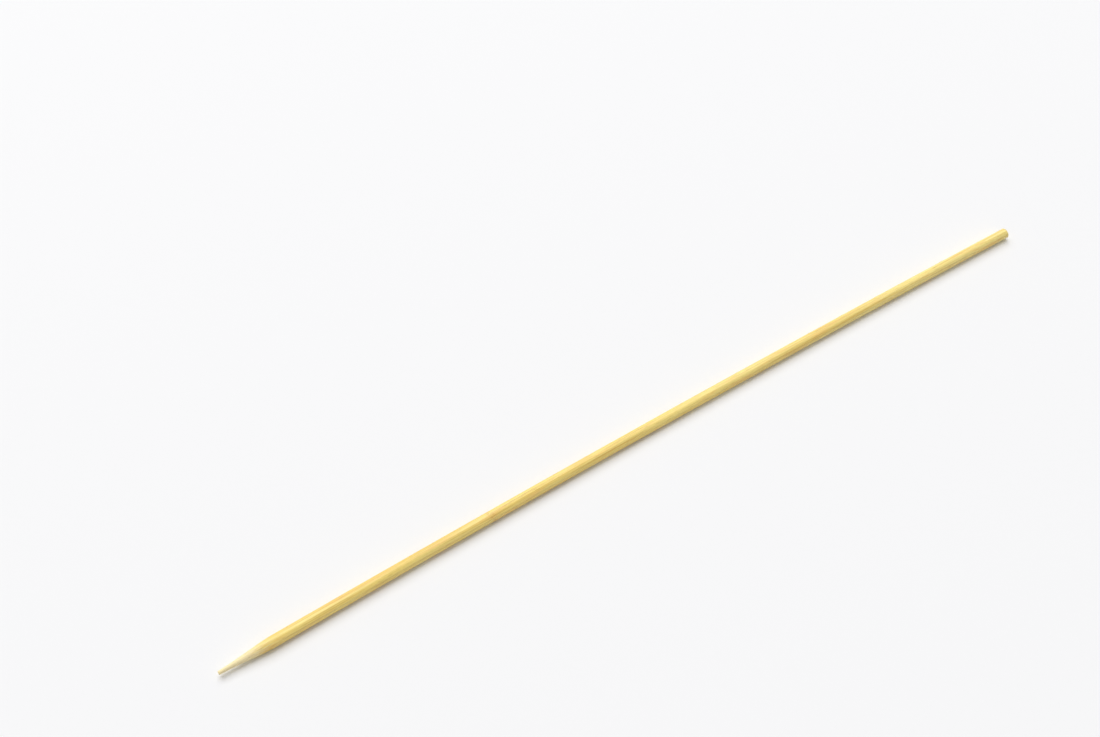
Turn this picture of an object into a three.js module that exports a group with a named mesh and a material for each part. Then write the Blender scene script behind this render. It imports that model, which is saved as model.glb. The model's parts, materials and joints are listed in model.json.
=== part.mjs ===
// A bamboo skewer lying on a flat surface, in millimetres, with +Z up.
// It lies along X, point towards -X and sawn end towards +X, and the origin is the middle of its base.
// It is one piece: a strip of split bamboo milled to a round rod, ground to a point and sawn to length.

import * as THREE from "three";

// Rod
const skewerLength = 250;
const shaftDiameter = 3.06;
const bowHeight = 1.2; // how far the middle stands off the straight line between the ends
const bowPeakFromTip = 120; // where along the rod the bow stands furthest out

// Lands: the flat strips left where the split bamboo was thinner than the round cutter
const outerLandWidth = 1.15; // skin side, which the skewer lies on
const innerLandWidth = 0.7; // pith side, which faces up

// Ground point: a slim nib, a straight cone behind it and a soft run-out into the rod
const nibEndDiameter = 1.15;
const nibEndRound = 0.2;
const nibDiameter = 1.4;
const nibLength = 3.0;
const nibFillet = 0.9;
const coneLength = 7.6;
const coneEndDiameter = 2.72;
const runOutLength = 3.6;

// Sawn end
const sawnRimRound = 0.14;

// Fineness of the surface
const arcSides = 13;
const landSides = 4;
const filletSteps = 3;
const runOutSteps = 6;
const shaftSteps = 26;

const shaftRadius = shaftDiameter / 2;
const pointLength = nibLength + coneLength + runOutLength;
const outerLandHeight = Math.sqrt(shaftRadius ** 2 - (outerLandWidth / 2) ** 2);
const innerLandHeight = Math.sqrt(shaftRadius ** 2 - (innerLandWidth / 2) ** 2);

// Points of a curve, without its first one
function stepsAlong(curve, steps) {
  return curve.getPoints(steps).slice(1);
}

// Quarter round between a flat end and a side, as points of (distance from the tip, radius)
function cornerRound(start, corner, end) {
  return stepsAlong(new THREE.QuadraticBezierCurve(start, corner, end), filletSteps);
}

// Outline of the point, from its blunt end to where the full rod starts
function pointOutline() {
  const at = (along, radius) => new THREE.Vector2(along, radius);
  const nibEnd = nibEndDiameter / 2;
  const nib = nibDiameter / 2;
  const coneEnd = coneEndDiameter / 2;
  const nibSlope = (nib - nibEnd) / nibLength;
  const coneSlope = (coneEnd - nib) / coneLength;

  const outline = [at(0, nibEnd - nibEndRound)];
  outline.push(...cornerRound(outline[0], at(0, nibEnd), at(nibEndRound, nibEnd + nibSlope * nibEndRound)));

  const filletStart = at(nibLength - nibFillet, nib - nibSlope * nibFillet);
  const filletEnd = at(nibLength + nibFillet, nib + coneSlope * nibFillet);
  outline.push(filletStart);
  outline.push(...cornerRound(filletStart, at(nibLength, nib), filletEnd));

  const runOutStart = at(nibLength + coneLength, coneEnd);
  const straightOn = at(runOutStart.x + (shaftRadius - coneEnd) / coneSlope, shaftRadius);
  const runOut = new THREE.QuadraticBezierCurve(runOutStart, straightOn, at(pointLength, shaftRadius));
  outline.push(runOutStart, ...stepsAlong(runOut, runOutSteps));
  return outline;
}

// Outline of the plain rod, from the end of the point to the worn rim of the sawn end
function shaftOutline() {
  const outline = [];
  const shaftEnd = skewerLength - sawnRimRound;
  for (let step = 1; step <= shaftSteps; step += 1) {
    outline.push(new THREE.Vector2(THREE.MathUtils.lerp(pointLength, shaftEnd, step / shaftSteps), shaftRadius));
  }
  const corner = new THREE.Vector2(skewerLength, shaftRadius);
  const rim = new THREE.Vector2(skewerLength, shaftRadius - sawnRimRound);
  outline.push(...cornerRound(outline.at(-1), corner, rim));
  return outline;
}

// Angles round the rod, with the edges of both lands among them; zero points along +Y
function sectionAngles() {
  const outerHalf = Math.asin(outerLandWidth / 2 / shaftRadius);
  const innerHalf = Math.asin(innerLandWidth / 2 / shaftRadius);
  const quarter = Math.PI / 2;
  const corners = [
    [quarter - innerHalf, landSides],
    [quarter + innerHalf, arcSides],
    [3 * quarter - outerHalf, landSides],
    [3 * quarter + outerHalf, arcSides],
    [5 * quarter - innerHalf, 0],
  ];
  const angles = [];
  for (let i = 0; i < corners.length - 1; i += 1) {
    const [from, sides] = corners[i];
    const to = corners[i + 1][0];
    for (let side = 0; side < sides; side += 1) {
      angles.push(from + ((to - from) * side) / sides);
    }
  }
  return angles;
}

// Distance from the rod's axis to its surface at an angle, where the round part has the given radius
function surfaceRadius(angle, roundRadius) {
  const height = Math.sin(angle);
  const landHeight = height > 0 ? innerLandHeight : outerLandHeight;
  const landRadius = landHeight / Math.max(Math.abs(height), Number.EPSILON);
  return Math.min(roundRadius, landRadius);
}

// Sideways stand-off of the rod's axis: two half arcs that meet at the peak of the bow
function bowAt(along) {
  const reach = along < bowPeakFromTip ? bowPeakFromTip : skewerLength - bowPeakFromTip;
  const share = (along - bowPeakFromTip) / reach;
  return bowHeight * (1 - share * share);
}

// One section of the skewer, as points round its axis
function sectionPoints(station, angles) {
  return angles.map((angle) => {
    const radius = surfaceRadius(angle, station.y);
    return new THREE.Vector3(
      station.x,
      bowAt(station.x) + radius * Math.cos(angle),
      outerLandHeight + radius * Math.sin(angle),
    );
  });
}

// Closed skin through a row of sections, with a fan of triangles over each end
function loftSections(sections) {
  const sides = sections[0].length;
  const positions = sections.flat().flatMap((point) => point.toArray());
  const faces = [];
  for (let row = 0; row < sections.length - 1; row += 1) {
    for (let side = 0; side < sides; side += 1) {
      const here = row * sides + side;
      const next = row * sides + ((side + 1) % sides);
      faces.push(here, next, here + sides);
      faces.push(next, next + sides, here + sides);
    }
  }
  const centreOf = (section) => {
    const sum = section.reduce((total, point) => total.add(point), new THREE.Vector3());
    return sum.divideScalar(section.length);
  };
  const lastRow = (sections.length - 1) * sides;
  const tipCentre = sections.length * sides;
  positions.push(...centreOf(sections[0]).toArray(), ...centreOf(sections.at(-1)).toArray());
  for (let side = 0; side < sides; side += 1) {
    const next = (side + 1) % sides;
    faces.push(tipCentre, next, side);
    faces.push(tipCentre + 1, lastRow + side, lastRow + next);
  }
  const geometry = new THREE.BufferGeometry();
  geometry.setAttribute("position", new THREE.Float32BufferAttribute(positions, 3));
  geometry.setIndex(faces);
  geometry.computeVertexNormals();
  return geometry;
}

// The whole skewer, with the middle of its box's base at the origin
function makeSkewer() {
  const stations = [...pointOutline(), ...shaftOutline()];
  const angles = sectionAngles();
  const geometry = loftSections(stations.map((station) => sectionPoints(station, angles)));
  geometry.computeBoundingBox();
  const centre = geometry.boundingBox.getCenter(new THREE.Vector3());
  geometry.translate(-centre.x, -centre.y, 0);

  const bamboo = new THREE.MeshStandardMaterial({ color: 0xe9cf8f, roughness: 0.62, metalness: 0 });
  const skewer = new THREE.Mesh(geometry, bamboo);
  skewer.name = "skewer";
  return skewer;
}

const model = new THREE.Group();
model.add(makeSkewer());

export default model;
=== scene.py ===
"""A bamboo skewer on a white table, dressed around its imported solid.

The skewer is one milled rod of split bamboo: ground to a slim nib and a straight cone at one
end, sawn square at the other, with two narrow flat lands along it and a slight sideways bow.
"""

import json
import logging
import math
import random
from collections.abc import Iterator, Sequence
from contextlib import contextmanager
from dataclasses import dataclass
from enum import Enum, IntEnum

import bpy
import numpy as np
from mathutils import Matrix, Vector

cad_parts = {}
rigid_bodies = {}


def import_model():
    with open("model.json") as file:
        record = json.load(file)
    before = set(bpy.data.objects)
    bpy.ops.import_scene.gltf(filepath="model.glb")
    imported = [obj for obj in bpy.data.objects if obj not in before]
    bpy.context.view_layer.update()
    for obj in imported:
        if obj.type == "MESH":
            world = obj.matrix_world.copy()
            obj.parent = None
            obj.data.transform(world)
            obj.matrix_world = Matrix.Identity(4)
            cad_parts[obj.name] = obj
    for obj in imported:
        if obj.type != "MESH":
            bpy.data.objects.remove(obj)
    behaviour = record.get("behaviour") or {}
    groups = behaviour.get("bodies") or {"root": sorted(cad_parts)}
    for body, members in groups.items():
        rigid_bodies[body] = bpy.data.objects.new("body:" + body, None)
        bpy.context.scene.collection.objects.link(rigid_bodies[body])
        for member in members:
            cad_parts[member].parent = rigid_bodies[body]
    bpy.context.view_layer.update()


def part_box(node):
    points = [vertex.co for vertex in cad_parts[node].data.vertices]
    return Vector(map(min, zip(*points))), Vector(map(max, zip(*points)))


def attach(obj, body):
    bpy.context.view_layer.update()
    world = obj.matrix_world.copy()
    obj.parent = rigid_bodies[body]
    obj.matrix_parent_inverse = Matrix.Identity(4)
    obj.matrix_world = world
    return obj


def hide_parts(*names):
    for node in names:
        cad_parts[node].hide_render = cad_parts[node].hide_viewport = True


MM = 0.001
NODE_NAME = "skewer"
BODY_NAME = "root"

log = logging.getLogger("skewer")

Colour = tuple[float, float, float, float]
Box = Sequence[Sequence[float]]


def from_screen(red: int, green: int, blue: int) -> Colour:
    """Turns a colour as a screen shows it into the light that it stands for.

    Args:
        red: Red, from 0 to 255.
        green: Green, from 0 to 255.
        blue: Blue, from 0 to 255.

    Returns:
        The linear colour, with full alpha.
    """
    linear = [((c / 255 + 0.055) / 1.055) ** 2.4 for c in (red, green, blue)]
    return (linear[0], linear[1], linear[2], 1.0)


class Axis(IntEnum):
    """The three directions of the shared frame, as the columns of a row of places."""

    ALONG = 0
    ACROSS = 1
    UP = 2


class Push(Enum):
    """Which way a modifier moves a surface."""

    INTO = "NORMAL"
    ALONG = "X"
    ACROSS = "Y"
    UP = "Z"


class ModelBench:
    """The few moves that every piece is modelled with."""

    @staticmethod
    def clear_selection() -> None:
        """Deselects every object, so that an operator acts on the new piece alone."""
        for item in bpy.context.view_layer.objects:
            item.select_set(False)

    @staticmethod
    def take(piece: bpy.types.Object) -> None:
        """Selects one piece and makes it the active one."""
        ModelBench.clear_selection()
        piece.select_set(True)
        bpy.context.view_layer.objects.active = piece

    @staticmethod
    @contextmanager
    def editing(piece: bpy.types.Object) -> Iterator[None]:
        """Holds one piece in edit mode while a block of operators runs.

        Args:
            piece: The mesh object to edit.

        Yields:
            Nothing; the piece is back in object mode afterwards.
        """
        ModelBench.take(piece)
        bpy.ops.object.mode_set(mode="EDIT")
        yield
        bpy.ops.object.mode_set(mode="OBJECT")

    @staticmethod
    def points(piece: bpy.types.Object) -> np.ndarray:
        """Gives the places of a piece's vertices as rows of three numbers."""
        places = np.empty(len(piece.data.vertices) * 3)
        piece.data.vertices.foreach_get("co", places)
        return places.reshape(-1, 3)

    @staticmethod
    def select_points(piece: bpy.types.Object, chosen: np.ndarray) -> None:
        """Selects vertices, and the edges and faces that lie wholly between them.

        Args:
            piece: The mesh object, in object mode.
            chosen: One true or false for each vertex.
        """
        mesh = piece.data
        mesh.vertices.foreach_set("select", chosen)
        ends = np.empty(len(mesh.edges) * 2, dtype=np.int32)
        mesh.edges.foreach_get("vertices", ends)
        mesh.edges.foreach_set("select", chosen[ends.reshape(-1, 2)].all(axis=1))
        for face in mesh.polygons:
            face.select = all(chosen[list(face.vertices)])

    @staticmethod
    def flatten(piece: bpy.types.Object, chosen: np.ndarray, height: float) -> None:
        """Presses the chosen vertices straight onto a level plane.

        Args:
            piece: The mesh object, in object mode.
            chosen: One true or false for each vertex.
            height: The plane's height in metres.
        """
        ModelBench.select_points(piece, chosen)
        with ModelBench.editing(piece):
            bpy.ops.transform.resize(value=(1, 1, 0), center_override=(0, 0, height))

    @staticmethod
    def weigh(piece: bpy.types.Object, name: str, weights: np.ndarray) -> None:
        """Gives a piece a vertex group that says how much each vertex is worked.

        Args:
            piece: The mesh object.
            name: The group's name.
            weights: One number from 0 to 1 for each vertex.
        """
        group = piece.vertex_groups.new(name=name)
        for index in np.flatnonzero(weights > 0):
            group.add([int(index)], float(weights[index]), "REPLACE")

    @staticmethod
    def apply_modifier(piece: bpy.types.Object, kind: str, **settings: object) -> None:
        """Adds one modifier to a piece and applies it.

        Args:
            piece: The mesh object.
            kind: The modifier's type.
            **settings: Its settings by name.
        """
        ModelBench.take(piece)
        modifier = piece.modifiers.new(kind.title(), kind)
        for name, value in settings.items():
            setattr(modifier, name, value)
        bpy.ops.object.modifier_apply(modifier=modifier.name)


@dataclass(frozen=True)
class Relief:
    """One layer of grain pressed into a surface: how long, how wide and how deep its marks are."""

    name: str
    mark_length: float
    mark_width: float
    depth: float
    group: str
    direction: Push = Push.INTO
    octaves: int = 1

    def press(self, piece: bpy.types.Object) -> None:
        """Presses the layer into a piece, always inwards.

        Args:
            piece: The mesh object, with a vertex group named by the layer.
        """
        texture = bpy.data.textures.new(self.name, "CLOUDS")
        texture.noise_basis = "IMPROVED_PERLIN"
        texture.noise_scale = 1.0
        texture.noise_depth = self.octaves
        ruler = bpy.data.objects.new(f"{self.name}_ruler", None)
        bpy.context.scene.collection.objects.link(ruler)
        ruler.scale = (self.mark_length, self.mark_width, self.mark_width)
        bpy.context.view_layer.update()
        ModelBench.apply_modifier(
            piece,
            "DISPLACE",
            texture=texture,
            texture_coords="OBJECT",
            texture_coords_object=ruler,
            direction=self.direction.value,
            strength=self.depth,
            mid_level=1.0,
            vertex_group=self.group,
        )
        bpy.data.objects.remove(ruler)
        bpy.data.textures.remove(texture)


@dataclass(frozen=True)
class RodForm:
    """The skewer's true form, in metres, with distances along it measured from its point."""

    length: float
    tip_x: float
    diameter: float = 3.06 * MM
    bow_height: float = 1.2 * MM
    bow_peak: float = 120 * MM
    outer_land_width: float = 1.15 * MM
    inner_land_width: float = 0.7 * MM
    nib_end_diameter: float = 1.15 * MM
    nib_end_round: float = 0.2 * MM
    nib_diameter: float = 1.4 * MM
    nib_length: float = 3.0 * MM
    nib_fillet: float = 0.9 * MM
    cone_length: float = 7.6 * MM
    cone_end_diameter: float = 2.72 * MM
    run_out_length: float = 3.6 * MM
    sawn_rim_round: float = 0.14 * MM
    node_from_tip: float = 74 * MM
    node_length: float = 2.4 * MM

    @property
    def radius(self) -> float:
        """Half the rod's diameter."""
        return self.diameter / 2

    @property
    def point_length(self) -> float:
        """From the blunt tip to where the full rod starts."""
        return self.nib_length + self.cone_length + self.run_out_length

    def land_height(self, width: float) -> float:
        """From the rod's axis to a land of the given width."""
        return math.sqrt(self.radius**2 - (width / 2) ** 2)

    @property
    def axis_height(self) -> float:
        """From the table to the rod's axis, as it lies on its outer land."""
        return self.land_height(self.outer_land_width)

    def bow_at(self, along: np.ndarray) -> np.ndarray:
        """Gives how far the axis stands off the straight line between the ends.

        Args:
            along: Distances from the tip.

        Returns:
            The stand-off at each distance.
        """
        reach = np.where(along < self.bow_peak, self.bow_peak, self.length - self.bow_peak)
        return self.bow_height * (1 - ((along - self.bow_peak) / reach) ** 2)

    @property
    def bow_middle(self) -> float:
        """Half the bow's whole stand-off, which is where the frame's middle lies."""
        lowest = float(self.bow_at(np.array(self.length - self.sawn_rim_round)))
        return (self.bow_height + lowest) / 2

    @staticmethod
    def curve(start: Vector, corner: Vector, end: Vector, steps: int) -> list[Vector]:
        """Gives the points of a round corner, without its first one.

        Args:
            start: Where the corner starts.
            corner: Where its two tangents meet.
            end: Where it ends.
            steps: How many points it gets.

        Returns:
            Points of (distance from the tip, radius).
        """
        shares = [step / steps for step in range(1, steps + 1)]
        return [start.lerp(corner, s).lerp(corner.lerp(end, s), s) for s in shares]

    @staticmethod
    def straight(start: Vector, end: Vector, step: float) -> list[Vector]:
        """Gives evenly spaced points along a straight, without its first one."""
        count = max(1, round((end - start).length / step))
        return [start.lerp(end, i / count) for i in range(1, count + 1)]

    def outline(self, fine_step: float, shaft_step: float, end_rings: int) -> list[Vector]:
        """Draws half the rod's outline, from the tip's middle to the sawn end's middle.

        Args:
            fine_step: Spacing of the points on the ground point.
            shaft_step: Spacing of the points on the plain rod.
            end_rings: How many points cross the sawn face.

        Returns:
            Points of (distance from the tip, radius).
        """
        corner_steps = 5
        run_out_steps = round(self.run_out_length / fine_step)
        nib_end, nib = self.nib_end_diameter / 2, self.nib_diameter / 2
        cone_end, full = self.cone_end_diameter / 2, self.radius
        nib_slope = (nib - nib_end) / self.nib_length
        cone_slope = (cone_end - nib) / self.cone_length

        middle = Vector((0, 0))
        face_edge = Vector((0, nib_end - self.nib_end_round))
        nib_start = Vector((self.nib_end_round, nib_end + nib_slope * self.nib_end_round))
        nib_stop = Vector((self.nib_length, nib))
        fillet_start = nib_stop - Vector((1, nib_slope)) * self.nib_fillet
        fillet_end = nib_stop + Vector((1, cone_slope)) * self.nib_fillet
        cone_stop = Vector((self.nib_length + self.cone_length, cone_end))
        straight_on = Vector((cone_stop.x + (full - cone_end) / cone_slope, full))
        shaft_start = Vector((self.point_length, full))
        shaft_stop = Vector((self.length - self.sawn_rim_round, full))
        rim = Vector((self.length, full - self.sawn_rim_round))

        points = [middle]
        points += self.straight(middle, face_edge, nib_end / 5)
        points += self.curve(face_edge, Vector((0, nib_end)), nib_start, corner_steps)
        points += self.straight(nib_start, fillet_start, fine_step)
        points += self.curve(fillet_start, nib_stop, fillet_end, corner_steps)
        points += self.straight(fillet_end, cone_stop, fine_step)
        points += self.curve(cone_stop, straight_on, shaft_start, run_out_steps)
        points += self.straight(shaft_start, shaft_stop, shaft_step)
        points += self.curve(shaft_stop, Vector((self.length, full)), rim, corner_steps)
        points += self.straight(rim, Vector((self.length, 0)), full / end_rings)
        return points


@dataclass
class Rod:
    """The skewer itself: turned from its outline, flattened at its lands, grained and bowed."""

    form: RodForm
    sides: int = 180
    fine_step: float = 0.28 * MM
    shaft_step: float = 1.3 * MM
    end_rings: int = 22
    torn_length: float = 0.7 * MM
    merge_distance: float = 0.0004 * MM
    smooth_angle: float = 38.0
    table_skin: float = 0.02 * MM
    table_share: float = 0.35
    reliefs: tuple[Relief, ...] = (
        Relief("waver", 34 * MM, 2.6 * MM, 0.07 * MM, "sides"),
        Relief("bundles", 26 * MM, 0.34 * MM, 0.05 * MM, "sides"),
        Relief("fibres", 9 * MM, 0.15 * MM, 0.022 * MM, "sides"),
        Relief("grinding", 0.5 * MM, 0.4 * MM, 0.03 * MM, "ground"),
        Relief("tearing", 3 * MM, 0.14 * MM, 0.22 * MM, "sawn", Push.ALONG, octaves=2),
    )

    def turn(self) -> bpy.types.Object:
        """Draws the outline point by point and spins it into a closed rod.

        Returns:
            The straight round rod, with its axis at the height that it lies at.
        """
        form = self.form
        points = form.outline(self.fine_step, self.shaft_step, self.end_rings)
        axis_y = -form.bow_middle
        start = (form.tip_x, axis_y, form.axis_height)
        bpy.ops.mesh.primitive_plane_add(size=MM, location=start)
        rod = bpy.context.object
        rod.name = rod.data.name = "bamboo_skewer"
        with ModelBench.editing(rod):
            bpy.ops.mesh.merge(type="CENTER")
            for here, there in zip(points, points[1:]):
                step = (there.x - here.x, 0, there.y - here.y)
                bpy.ops.mesh.extrude_region_move(TRANSFORM_OT_translate={"value": step})
            bpy.ops.mesh.select_all(action="SELECT")
            bpy.ops.mesh.spin(
                steps=self.sides,
                angle=2 * math.pi,
                center=(0, axis_y, form.axis_height),
                axis=(1, 0, 0),
            )
            bpy.ops.mesh.select_all(action="SELECT")
            bpy.ops.mesh.remove_doubles(threshold=self.merge_distance)
            bpy.ops.mesh.normals_make_consistent(inside=False)
        bpy.ops.object.transform_apply(location=True, rotation=True, scale=True)
        return rod

    def press_lands(self, rod: bpy.types.Object) -> None:
        """Flattens the strip along the top and the strip that the rod lies on."""
        form = self.form
        top = form.axis_height + form.land_height(form.inner_land_width)
        heights = ModelBench.points(rod)[:, Axis.UP]
        ModelBench.flatten(rod, heights > top, top)
        heights = ModelBench.points(rod)[:, Axis.UP]
        ModelBench.flatten(rod, heights < 0, 0.0)

    def mark_zones(self, rod: bpy.types.Object) -> None:
        """Names the zones that the grain, the grinding, the saw and the bow work on."""
        form = self.form
        places = ModelBench.points(rod)
        along = places[:, Axis.ALONG] - form.tip_x
        across = places[:, Axis.ACROSS] + form.bow_middle
        up = places[:, Axis.UP] - form.axis_height
        to_end = form.length - along
        on_skin = np.clip(np.hypot(across, up) / (form.nib_end_diameter / 2), 0, 1)
        pressed = np.where(places[:, Axis.UP] < self.table_skin, self.table_share, 1.0)
        sides = on_skin * pressed * (to_end > form.sawn_rim_round / 2)
        ground = np.clip((form.point_length - along) / form.run_out_length, 0, 1) * on_skin
        ModelBench.weigh(rod, "sides", sides)
        ModelBench.weigh(rod, "ground", ground)
        ModelBench.weigh(rod, "sawn", np.clip(1 - to_end / self.torn_length, 0, 1) ** 2)
        ModelBench.weigh(rod, "bow", np.clip(form.bow_at(along) / form.bow_height, 0, 1))

    def make(self) -> bpy.types.Object:
        """Builds the finished rod.

        Returns:
            The piece, at the origin, with its place in its mesh.
        """
        rod = self.turn()
        self.press_lands(rod)
        self.mark_zones(rod)
        for relief in self.reliefs:
            relief.press(rod)
        ModelBench.apply_modifier(
            rod,
            "DISPLACE",
            direction=Push.ACROSS.value,
            strength=self.form.bow_height,
            mid_level=0.0,
            vertex_group="bow",
        )
        rod.vertex_groups.clear()
        ModelBench.take(rod)
        bpy.ops.object.shade_smooth_by_angle(angle=math.radians(self.smooth_angle))
        return rod


class Signal:
    """One output socket of a shader, which Python sums can be written with."""

    def __init__(self, bench: "ShaderBench", socket: bpy.types.NodeSocket) -> None:
        """Keeps the socket and the bench that its sums are added to.

        Args:
            bench: The material's bench.
            socket: The output socket.
        """
        self.bench = bench
        self.socket = socket

    def _sum(self, operation: str, *values: "Signal | float") -> "Signal":
        """Adds one Math node for an operation on values or signals."""
        return self.bench.make("ShaderNodeMath", {"operation": operation}, dict(enumerate(values)))

    def __add__(self, other: "Signal | float") -> "Signal":
        """Adds."""
        return self._sum("ADD", self, other)

    __radd__ = __add__

    def __sub__(self, other: "Signal | float") -> "Signal":
        """Takes away."""
        return self._sum("SUBTRACT", self, other)

    def __rsub__(self, other: float) -> "Signal":
        """Takes the signal away from a number."""
        return self._sum("SUBTRACT", other, self)

    def __mul__(self, other: "Signal | float") -> "Signal":
        """Multiplies."""
        return self._sum("MULTIPLY", self, other)

    def __truediv__(self, other: "Signal | float") -> "Signal":
        """Divides."""
        return self._sum("DIVIDE", self, other)

    def __lt__(self, other: float) -> "Signal":
        """Gives 1 where the signal is lower, and 0 elsewhere."""
        return self._sum("LESS_THAN", self, other)


class ShaderBench:
    """Wires the nodes of one material or of the world."""

    def __init__(self, owner: bpy.types.Material | bpy.types.World) -> None:
        """Clears the owner's node tree, to start from nothing.

        Args:
            owner: The material or the world.
        """
        owner.use_nodes = True
        self.owner = owner
        self.tree = owner.node_tree
        self.tree.nodes.clear()

    @staticmethod
    def _pick(sockets: bpy.types.bpy_prop_collection, key: str | int) -> bpy.types.NodeSocket:
        """Finds a socket by its identifier, its name or its number."""
        if isinstance(key, int):
            return sockets[key]
        by_identifier = [s for s in sockets if s.identifier == key]
        return by_identifier[0] if by_identifier else sockets[key]

    def add(
        self, kind: str, settings: dict[str, object], values: dict[str | int, object]
    ) -> bpy.types.Node:
        """Adds one node.

        Args:
            kind: The node's type.
            settings: Its own settings, which are set first.
            values: Values or signals for its input sockets.

        Returns:
            The node.
        """
        node = self.tree.nodes.new(kind)
        for name, value in settings.items():
            setattr(node, name, value)
        for key, value in values.items():
            socket = self._pick(node.inputs, key)
            if isinstance(value, Signal):
                self.tree.links.new(value.socket, socket)
            else:
                socket.default_value = value
        return node

    def make(
        self,
        kind: str,
        settings: dict[str, object],
        values: dict[str | int, object],
        output: str | int = 0,
    ) -> Signal:
        """Adds one node and hands back one of its outputs.

        Args:
            kind: The node's type.
            settings: Its own settings.
            values: Values or signals for its input sockets.
            output: Which output socket to hand back.

        Returns:
            The output socket, as a signal.
        """
        return Signal(self, self._pick(self.add(kind, settings, values).outputs, output))

    def blend(
        self,
        factor: Signal | float,
        under: Signal | Colour,
        over: Signal | Colour,
        how: str = "MIX",
    ) -> Signal:
        """Mixes two colours.

        Args:
            factor: How much of the second colour shows.
            under: The first colour.
            over: The second colour.
            how: The blend type.

        Returns:
            The mixed colour.
        """
        return self.make(
            "ShaderNodeMix",
            {"data_type": "RGBA", "blend_type": how},
            {"Factor_Float": factor, "A_Color": under, "B_Color": over},
            "Result_Color",
        )

    def ease(self, value: Signal, start: float, stop: float) -> Signal:
        """Rises smoothly from 0 to 1 as a value goes from start to stop."""
        return self.make(
            "ShaderNodeMapRange",
            {"interpolation_type": "SMOOTHSTEP"},
            {"Value": value, "From Min": start, "From Max": stop},
        )

    def place(self, x: Signal | float, y: Signal | float, z: Signal | float) -> Signal:
        """Joins three numbers into a vector."""
        return self.make("ShaderNodeCombineXYZ", {}, {"X": x, "Y": y, "Z": z})

    def noise(self, vector: Signal) -> Signal:
        """Gives soft noise of about one mark to each unit of the vector."""
        values = {"Vector": vector, "Scale": 1.0, "Detail": 2.0, "Roughness": 0.5}
        return self.make("ShaderNodeTexNoise", {"noise_dimensions": "3D"}, values, "Fac")


@dataclass(frozen=True)
class RodPlace:
    """Where a point of the wood lies, in millimetres from the tip and from the bowed axis."""

    bench: ShaderBench
    along: Signal
    across: Signal
    up: Signal

    @classmethod
    def measure(cls, bench: ShaderBench, form: RodForm) -> "RodPlace":
        """Measures the place from Object coordinates, with the rod's bow taken out.

        Args:
            bench: The material's bench.
            form: The rod's form.

        Returns:
            The place of each shaded point.
        """
        where = bench.make("ShaderNodeTexCoord", {}, {}, "Object")
        split = bench.add("ShaderNodeSeparateXYZ", {}, {"Vector": where})
        x, y, z = (Signal(bench, part) for part in split.outputs)
        along = (x - form.tip_x) / MM
        peak = form.bow_peak / MM
        tail = form.length / MM - peak
        reach = (along < peak) * (peak - tail) + tail
        share = (along - peak) / reach
        bow = (1 - share * share) * (form.bow_height / MM)
        across = (y + form.bow_middle) / MM - bow
        return cls(bench, along, across, (z - form.axis_height) / MM)

    def _stretched(self, length: float, width: float) -> Signal:
        """Gives the place in units of a mark's length along the rod and of its width across."""
        return self.bench.place(self.along / length, self.across / width, self.up / width)

    def grain(self, length: float, width: float) -> Signal:
        """Gives noise drawn out along the rod, with marks of a given length and width."""
        return self.bench.noise(self._stretched(length, width))

    def bundles(self, length: float, spacing: float) -> Signal:
        """Gives 1 inside the dark fibre bundles that run along the stem.

        Args:
            length: How far a bundle shows before it wanders off.
            spacing: From one bundle to the next.

        Returns:
            The bundles' mask.
        """
        values = {"Vector": self._stretched(length, spacing), "Scale": 1.0}
        cells = self.bench.make("ShaderNodeTexVoronoi", {"feature": "F1"}, values, "Distance")
        return 1 - self.bench.ease(cells, 0.22, 0.5)

    def swirled(self, node: Signal) -> "RodPlace":
        """Turns the grain aside at the node and lets it wander slightly elsewhere.

        Args:
            node: How strongly the node shows.

        Returns:
            The place with the grain turned aside.
        """
        wander = self.grain(22, 3) - 0.5
        lifted = self.bench.place(self.along / 26, self.across / 3, self.up / 3 + 7.0)
        lift = self.bench.noise(lifted) - 0.5
        across = self.across + wander * 0.5 + node * 0.16
        return RodPlace(self.bench, self.along, across, self.up + lift * 0.5)


@dataclass(frozen=True)
class GrainMarks:
    """The marks that both colour the wood and stand out of it."""

    fine: Signal
    streak: Signal
    bundles: Signal
    dashes: Signal

    @classmethod
    def of(cls, wood: RodPlace) -> "GrainMarks":
        """Draws the marks at each place in the wood."""
        ease = wood.bench.ease
        return cls(
            fine=wood.grain(5, 0.055),
            streak=ease(wood.grain(15, 0.19), 0.5, 0.66),
            bundles=wood.bundles(34, 0.5),
            dashes=ease(wood.grain(2.4, 0.075), 0.62, 0.68) * ease(wood.grain(26, 0.8), 0.44, 0.6),
        )

    def relief(self) -> Signal:
        """Gives how high each place stands: bundles, streaks and dashes lie a little lower."""
        soft = self.fine * 0.8 + (1 - self.bundles) * 0.4 + (1 - self.streak) * 0.4
        return soft - self.dashes * 0.5


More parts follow.
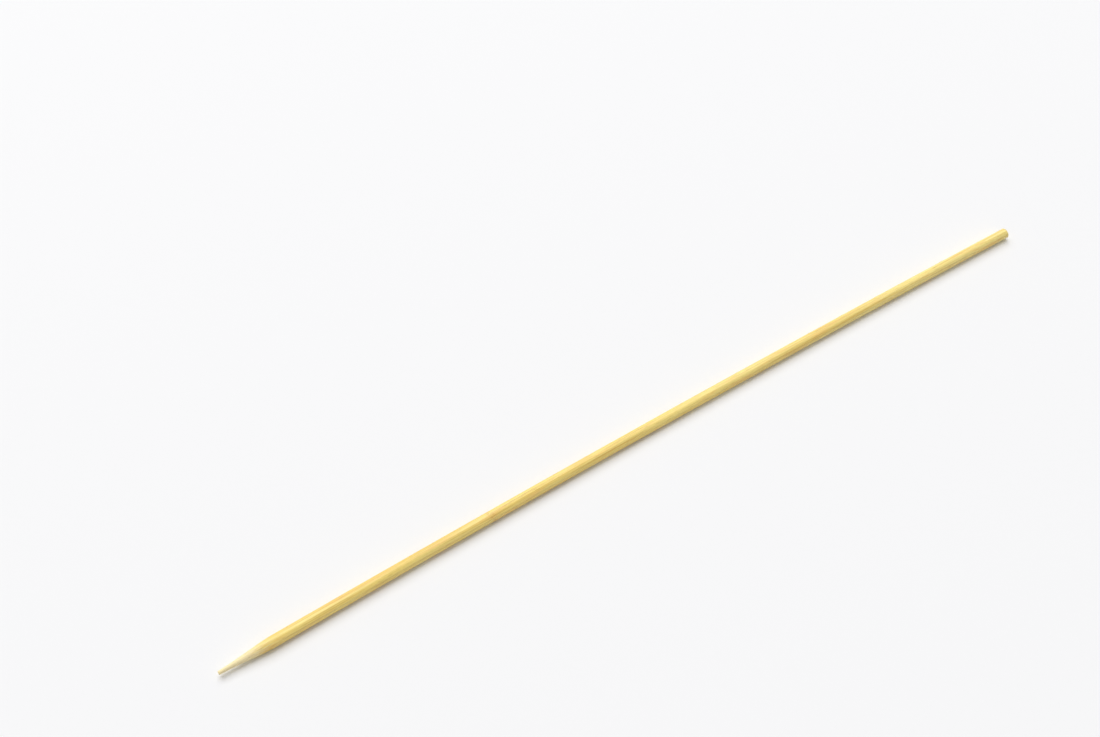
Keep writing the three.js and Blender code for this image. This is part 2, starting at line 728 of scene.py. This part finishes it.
@dataclass(frozen=True)
class BambooFinish:
    """Raw milled bamboo: solid lengthwise grain, a paler ground point and dotted end grain."""

    form: RodForm
    straw: Colour = from_screen(247, 220, 124)
    honey: Colour = from_screen(235, 200, 100)
    # pale straw of the lengthwise bands and the end pith, also laid on as painted bounce light
    # towards the sawn end
    pale: Colour = from_screen(252, 235, 152)
    peach: Colour = from_screen(247, 202, 118)
    fresh_ground: Colour = from_screen(255, 244, 204)
    bundle: Colour = from_screen(212, 166, 74)
    hairline: Colour = from_screen(158, 106, 46)
    scar: Colour = from_screen(206, 146, 84)
    end_pith: Colour = from_screen(236, 208, 142)
    end_pore: Colour = from_screen(112, 76, 36)
    roughness: float = 0.44
    bump_height: float = 0.014 * MM

    def make(self) -> bpy.types.Material:
        """Builds the material.

        Returns:
            The bamboo material, which reads Object coordinates only.
        """
        bench = ShaderBench(bpy.data.materials.new("milled_bamboo"))
        place = RodPlace.measure(bench, self.form)
        node = self._node_zone(place)
        ground = self._ground_zone(place)
        sawn = self._sawn_zone(place)
        wood = place.swirled(node)
        marks = GrainMarks.of(wood)

        body = self._wood_colour(wood, marks, node, ground)
        colour = bench.blend(sawn, body, self._end_grain(place))
        rough = self.roughness + (marks.fine - 0.5) * 0.2 + ground * 0.12 + sawn * 0.2
        bump = bench.make(
            "ShaderNodeBump",
            {},
            {"Height": marks.relief(), "Distance": self.bump_height, "Strength": 0.8},
        )
        surface = bench.make(
            "ShaderNodeBsdfPrincipled",
            {},
            {"Base Color": colour, "Roughness": rough, "Normal": bump, "IOR": 1.46},
        )
        bench.add("ShaderNodeOutputMaterial", {}, {"Surface": surface})
        return bench.owner

    def _wood_colour(
        self, wood: RodPlace, marks: GrainMarks, node: Signal, ground: Signal
    ) -> Signal:
        """Lays the wood's colours over one another, from the broadest to the finest, with painted
        bounce light paling the wood towards the sawn end.

        Args:
            wood: The place in the swirled grain.
            marks: The grain's marks there.
            node: How strongly the node's scar shows.
            ground: How freshly ground the wood is.

        Returns:
            The colour of the rod's skin.
        """
        bench = wood.bench
        patch = bench.ease(wood.grain(44, 2.2), 0.36, 0.64)
        band = bench.ease(wood.grain(34, 0.62), 0.36, 0.64)
        blotch = bench.ease(wood.grain(9, 1.1), 0.5, 0.68)
        # painted bounce light: the wood grows paler and flatter towards the sawn end
        painted_bounce_towards_butt = bench.ease(wood.along, 110, 225)
        layers = (
            # the pale layer is partly real lengthwise banding and partly painted bounce light
            # towards the sawn end
            (band * 0.46 + painted_bounce_towards_butt * 0.5, self.pale),
            (blotch * 0.56, self.peach),
            (marks.streak * 0.38, self.bundle),
            (marks.bundles * 0.34, self.bundle),
            (ground * 0.67, self.fresh_ground),
            (marks.dashes * 0.5, self.hairline),
            (node * 0.42, self.scar),
        )
        body = bench.blend(patch, self.honey, self.straw)
        for share, colour in layers:
            body = bench.blend(share, body, colour)
        tone = 0.74 + marks.fine * 0.3 + wood.grain(1.5, 0.34) * 0.22
        shade = bench.make("ShaderNodeCombineColor", {}, dict(enumerate([tone] * 3)))
        return bench.blend(1.0, body, shade, "MULTIPLY")

    def _node_zone(self, place: RodPlace) -> Signal:
        """Gives the faint slanting scar where the stem had a node."""
        bench = place.bench
        wander = (place.grain(20 / 3, 0.7) - 0.5) * 1.6
        off = place.along - self.form.node_from_tip / MM + place.across * 0.45 + wander
        reach = self.form.node_length / MM / 2
        near = 1 - bench.ease(off * off, 0.0, reach**2)
        return near * bench.ease(place.grain(0.8, 0.2), 0.4, 0.62)

    def _ground_zone(self, place: RodPlace) -> Signal:
        """Gives the freshly ground point, with fibres running unevenly out of it."""
        stop = (self.form.nib_length + self.form.cone_length) / MM
        ragged = (place.grain(6, 0.24) - 0.5) * 11.0
        return 1 - place.bench.ease(place.along + ragged, stop - 4.5, stop + 3.5)

    def _sawn_zone(self, place: RodPlace) -> Signal:
        """Gives the sawn face and the start of its worn rim."""
        end = self.form.length / MM
        return place.bench.ease(place.along, end - 0.42, end - 0.22)

    def _end_grain(self, place: RodPlace) -> Signal:
        """Gives the sawn face its dots: dark pores in tan bundles in paler pith."""
        bench = place.bench
        bundle = place.bundles(40, 0.34)
        pore = bench.ease(bundle, 0.82, 1.0)
        pith = bench.blend(bench.ease(place.grain(2, 0.05), 0.3, 0.7), self.end_pith, self.pale)
        tan = bench.blend(bundle * 0.75, pith, self.bundle)
        return bench.blend(pore * 0.7, tan, self.end_pore)


@dataclass(frozen=True)
class FibrePatch:
    """One patch of loose fibres: how many, where they root and how they lie."""

    count: int
    roots: tuple[float, float]
    turns: tuple[float, float]
    lengths: tuple[float, float]
    stand_offs: tuple[float, float]


@dataclass(frozen=True)
class Fibre:
    """One loose fibre: where it roots along, round and out from the axis, and how it lies."""

    along: float
    turn: float
    depth: float
    length: float
    rise: float


@dataclass
class LooseFibres:
    """Fine fibres that the cutter and the saw left standing, modelled one by one."""

    form: RodForm
    room: Box
    seed: int = 11
    thickness: float = 0.024 * MM
    root_depth: float = 0.18 * MM
    sides: int = 6
    rings: int = 8
    smooth_angle: float = 60.0
    stubs: int = 46
    stub_root: float = 0.7 * MM
    stub_margin: float = 0.12 * MM
    patches: tuple[FibrePatch, ...] = (
        FibrePatch(34, (16 * MM, 244 * MM), (62, 126), (2.2 * MM, 6 * MM), (0.02 * MM, 0.12 * MM)),
        FibrePatch(12, (16 * MM, 244 * MM), (-80, -30), (2.2 * MM, 6 * MM), (0.01 * MM, 0.06 * MM)),
        FibrePatch(9, (8 * MM, 13 * MM), (20, 160), (1.2 * MM, 2.4 * MM), (-0.05 * MM, 0.02 * MM)),
        FibrePatch(
            14, (246.2 * MM, 247.8 * MM), (-180, 180), (1.3 * MM, 2.2 * MM), (0.0, 0.1 * MM)
        ),
    )

    def make(self) -> bpy.types.Object:
        """Models every fibre and joins them into one piece.

        Returns:
            The piece, at the origin, with its place in its mesh.
        """
        pattern = self._pattern()
        dice = random.Random(self.seed)
        grown = [self._grow(pattern, f) for f in [*self._on_skin(dice), *self._on_sawn_face(dice)]]
        kept = [strand for strand in grown if self._has_room(strand)]
        for spare in [pattern, *(strand for strand in grown if strand not in kept)]:
            bpy.data.objects.remove(spare)
        ModelBench.take(kept[0])
        for strand in kept:
            strand.select_set(True)
        bpy.ops.object.join()
        piece = bpy.context.object
        piece.name = piece.data.name = "loose_fibres"
        piece.vertex_groups.clear()
        bpy.ops.object.shade_smooth_by_angle(angle=math.radians(self.smooth_angle))
        return piece

    def _pattern(self) -> bpy.types.Object:
        """Models one spindle of unit length along X, with its rise as weights.

        Returns:
            The spindle, stout near its root and fine at both ends.
        """
        bpy.ops.mesh.primitive_cylinder_add(
            vertices=self.sides,
            radius=1.0,
            depth=1.0,
            rotation=(0, math.pi / 2, 0),
            location=(0.5, 0, 0),
        )
        pattern = bpy.context.object
        bpy.ops.object.transform_apply(location=True, rotation=True, scale=True)
        shares = [ring / self.rings for ring in range(self.rings + 1)]
        for share in shares[1:-1]:
            with ModelBench.editing(pattern):
                bpy.ops.mesh.select_all(action="SELECT")
                bpy.ops.mesh.bisect(plane_co=(share, 0, 0), plane_no=(1, 0, 0))
        for share in shares:
            slim = 0.1 + 0.9 * math.sin(math.pi * (0.25 + 0.75 * share)) ** 0.6
            along = ModelBench.points(pattern)[:, Axis.ALONG]
            ModelBench.select_points(pattern, np.isclose(along, share, atol=1e-4))
            with ModelBench.editing(pattern):
                bpy.ops.transform.resize(value=(1, slim, slim), center_override=(share, 0, 0))
        ModelBench.weigh(pattern, "rise", ModelBench.points(pattern)[:, Axis.ALONG] ** 2)
        return pattern

    def _on_skin(self, dice: random.Random) -> Iterator[Fibre]:
        """Scatters the fibres of each patch over the rod's skin."""
        for patch in self.patches:
            for _ in range(patch.count):
                rise = self.root_depth + dice.uniform(*patch.stand_offs)
                turn = math.radians(dice.uniform(*patch.turns))
                along = dice.uniform(*patch.roots)
                length = dice.uniform(*patch.lengths)
                yield Fibre(along, turn, self.form.radius - self.root_depth, length, rise)

    def _on_sawn_face(self, dice: random.Random) -> Iterator[Fibre]:
        """Scatters the broken fibres of the sawn face, which stand straight out of it."""
        root = self.form.length - self.stub_root
        for _ in range(self.stubs):
            depth = (self.form.radius - self.stub_margin) * math.sqrt(dice.random())
            turn = dice.uniform(-math.pi, math.pi)
            length = dice.uniform(0.54 * MM, 0.69 * MM)
            yield Fibre(root, turn, depth, length, dice.uniform(0.01 * MM, 0.05 * MM))

    def _grow(self, pattern: bpy.types.Object, fibre: Fibre) -> bpy.types.Object:
        """Copies the spindle, stretches it, lifts its free end and sets it in its place.

        Args:
            pattern: The unit spindle.
            fibre: Where the fibre roots and how it lies.

        Returns:
            The modelled fibre.
        """
        strand = pattern.copy()
        strand.data = pattern.data.copy()
        bpy.context.scene.collection.objects.link(strand)
        stretch = (fibre.length, self.thickness, self.thickness, 1)
        strand.data.transform(Matrix.Diagonal(stretch))
        ModelBench.apply_modifier(
            strand,
            "DISPLACE",
            direction=Push.UP.value,
            strength=fibre.rise,
            mid_level=0.0,
            vertex_group="rise",
        )
        strand.data.transform(self._seat(fibre))
        return strand

    def _seat(self, fibre: Fibre) -> Matrix:
        """Places a fibre's root off the bowed axis, turned round it from straight up."""
        form = self.form
        bow = float(form.bow_at(np.array(fibre.along)))
        centre = Vector((form.tip_x + fibre.along, bow - form.bow_middle, form.axis_height))
        outwards = Matrix.Translation((0, 0, fibre.depth))
        return Matrix.Translation(centre) @ Matrix.Rotation(fibre.turn, 4, "X") @ outwards

    def _has_room(self, strand: bpy.types.Object) -> bool:
        """Says whether a fibre clears the table and keeps to the skewer's own room."""
        places = ModelBench.points(strand)
        low, high = (np.array(corner) for corner in self.room)
        return bool((places.min(axis=0) > low).all() and (places.max(axis=0) < high).all())


@dataclass(frozen=True)
class PhotographCamera:
    """The camera at the photograph's viewing angle."""

    azimuth: float = -33.241
    elevation: float = 53.0
    distance: float = 0.35224
    aim: tuple[float, float, float] = (-0.01288, 0.03175, 0.0)
    focal_pixels: float = 1300.0
    frame_pixels: float = 1100.0
    sensor: float = 36.0

    def make(self) -> bpy.types.Object:
        """Adds the camera and makes it the scene's own.

        Returns:
            The camera object.
        """
        turn, rise = math.radians(self.azimuth), math.radians(self.elevation)
        level = math.cos(rise)
        back = Vector((math.sin(turn) * level, -math.cos(turn) * level, math.sin(rise)))
        data = bpy.data.cameras.new("camera")
        data.sensor_fit = "HORIZONTAL"
        data.sensor_width = self.sensor
        data.lens = self.sensor * self.focal_pixels / self.frame_pixels
        data.clip_start = 0.01
        camera = bpy.data.objects.new("camera", data)
        camera.location = Vector(self.aim) + back * self.distance
        camera.rotation_euler = (math.radians(90) - rise, 0, turn)
        bpy.context.scene.collection.objects.link(camera)
        bpy.context.scene.camera = camera
        return camera


@dataclass(frozen=True)
class SoftLamp:
    """One soft rectangular lamp that looks at the skewer."""

    name: str
    place: tuple[float, float, float]
    size: float
    power: float

    def make(self) -> bpy.types.Object:
        """Adds the lamp.

        Returns:
            The lamp object.
        """
        data = bpy.data.lights.new(self.name, "AREA")
        data.size = self.size
        data.energy = self.power
        lamp = bpy.data.objects.new(self.name, data)
        lamp.location = self.place
        lamp.rotation_euler = Vector(self.place).to_track_quat("Z", "Y").to_euler()
        bpy.context.scene.collection.objects.link(lamp)
        return lamp


@dataclass(frozen=True)
class Studio:
    """A white table, white surroundings and one soft lamp above and behind the skewer."""

    floor_size: float = 3.0
    floor_colour: Colour = from_screen(244, 244, 245)
    sky_colour: Colour = (1.0, 1.0, 1.0, 1.0)
    sky_light: float = 0.392
    lamp: SoftLamp = SoftLamp("window", (0.6, 2.9, 5.2), 6.0, 350.0)

    def make(self) -> None:
        """Adds the table, the white surroundings and the lamp."""
        self._lay_floor()
        self._light_sky()
        self.lamp.make()
        bpy.context.scene.view_settings.view_transform = "Standard"

    def _lay_floor(self) -> None:
        """Lays the plain pale table top."""
        ModelBench.clear_selection()
        bpy.ops.mesh.primitive_plane_add(size=self.floor_size, location=(0, 0, 0))
        floor = bpy.context.object
        floor.name = "table_top"
        bench = ShaderBench(bpy.data.materials.new("white_table"))
        surface = bench.make(
            "ShaderNodeBsdfPrincipled",
            {},
            {"Base Color": self.floor_colour, "Roughness": 0.9, "Specular IOR Level": 0.1},
        )
        bench.add("ShaderNodeOutputMaterial", {}, {"Surface": surface})
        floor.data.materials.append(bench.owner)

    def _light_sky(self) -> None:
        """Lights the scene evenly, and shows plain white to the camera and in reflections."""
        world = bpy.data.worlds.new("white_room")
        bpy.context.scene.world = world
        bench = ShaderBench(world)
        kinds = ("Is Camera Ray", "Is Glossy Ray", "Is Transmission Ray")
        camera, glossy, through = (
            bench.make("ShaderNodeLightPath", {}, {}, kind) for kind in kinds
        )
        seen = camera + glossy + through
        strength = bench.make(
            "ShaderNodeMapRange", {}, {"Value": seen, "To Min": self.sky_light, "To Max": 1.0}
        )
        values = {"Color": self.sky_colour, "Strength": strength}
        sky = bench.make("ShaderNodeBackground", {}, values)
        bench.add("ShaderNodeOutputWorld", {}, {"Surface": sky})


def hand_over(piece: bpy.types.Object, finish: bpy.types.Material) -> None:
    """Gives a piece its finish and hangs it on the body that it rides on.

    Args:
        piece: The finished piece.
        finish: Its material.
    """
    piece.data.materials.clear()
    piece.data.materials.append(finish)
    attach(piece, BODY_NAME)
    log.info("%s: %d faces", piece.name, len(piece.data.polygons))


def main() -> None:
    """Builds the skewer, its fibres and the studio, in that order."""
    logging.basicConfig(level=logging.INFO, format="%(name)s: %(message)s")
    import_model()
    ModelBench.clear_selection()
    PhotographCamera().make()
    low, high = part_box(NODE_NAME)
    form = RodForm(length=high[0] - low[0], tip_x=low[0])
    finish = BambooFinish(form).make()
    rod = Rod(form).make()
    hand_over(rod, finish)
    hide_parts(NODE_NAME)
    hand_over(LooseFibres(form, (low, high)).make(), finish)
    Studio().make()


if __name__ == "__main__":
    main()
